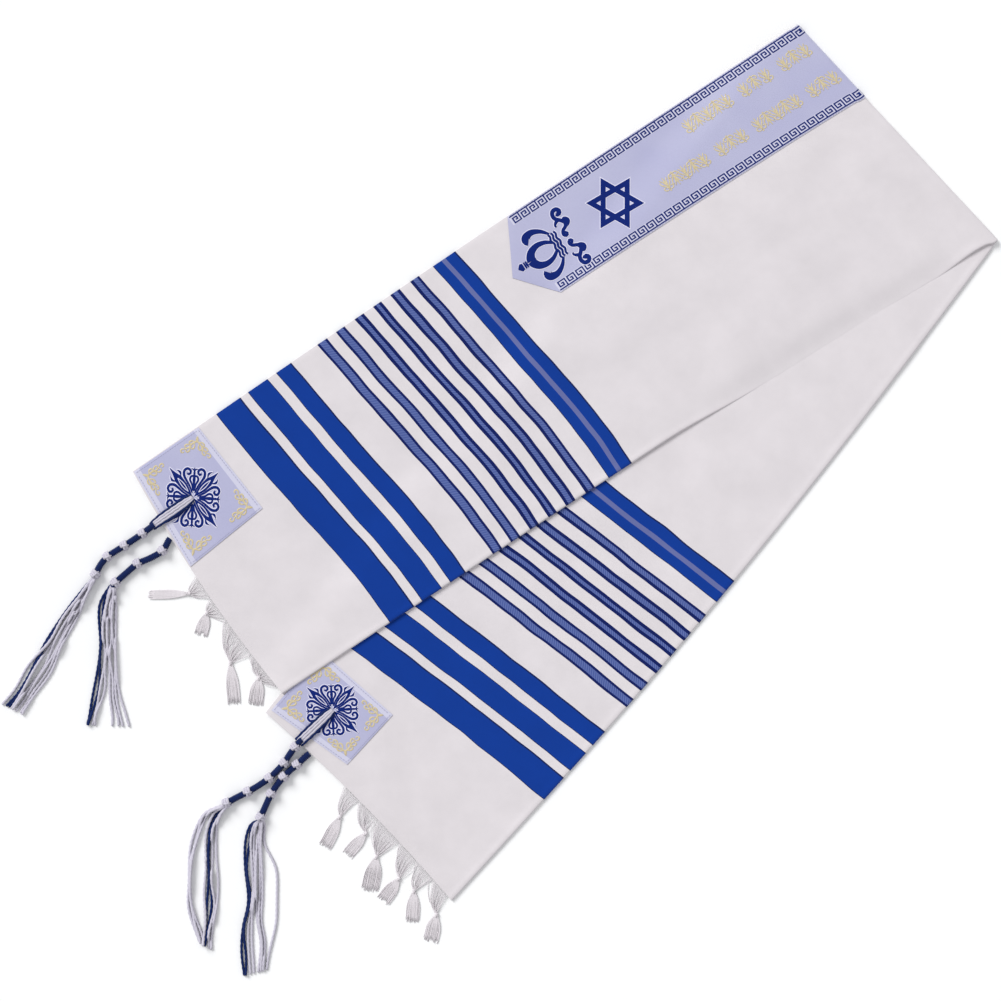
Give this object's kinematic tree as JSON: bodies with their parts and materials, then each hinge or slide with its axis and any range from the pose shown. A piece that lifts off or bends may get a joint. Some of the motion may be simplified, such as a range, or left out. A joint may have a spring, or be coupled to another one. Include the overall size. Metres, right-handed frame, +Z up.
{
  "type": "folded prayer shawl",
  "caption": "Striped woven prayer shawl folded in half lengthwise and crosswise, lying flat, with a neckband, corner patches, knotted corner tassels and fringed ends.",
  "frame": {"origin": "middle of the whole thing's box, on the surface it lies on", "axes": "+Z up out of the surface, +X towards the crosswise fold, +Y towards the open edges of the upper band"},
  "size_m": [1.0802, 1.0313, 0.0118],
  "materials": {
    "cloth": "plain woven off-white acrylic with royal blue and navy stripes",
    "satin": "pale lavender satin brocade with blue and gold figures",
    "tassel_cord": "twisted white and navy cord",
    "fringe_thread": "loose knotted warp threads, matt"
  },
  "bodies": {
    "root": {"shawl_cloth": "cloth", "neckband": "satin", "patch_upper": "satin", "patch_lower": "satin", "tzitzit_upper_patch": "tassel_cord", "tzitzit_upper_under": "tassel_cord", "tzitzit_lower_patch": "tassel_cord", "tzitzit_lower_under": "tassel_cord", "fringe_upper": "fringe_thread", "fringe_lower": "fringe_thread"}
  },
  "joints": []
}
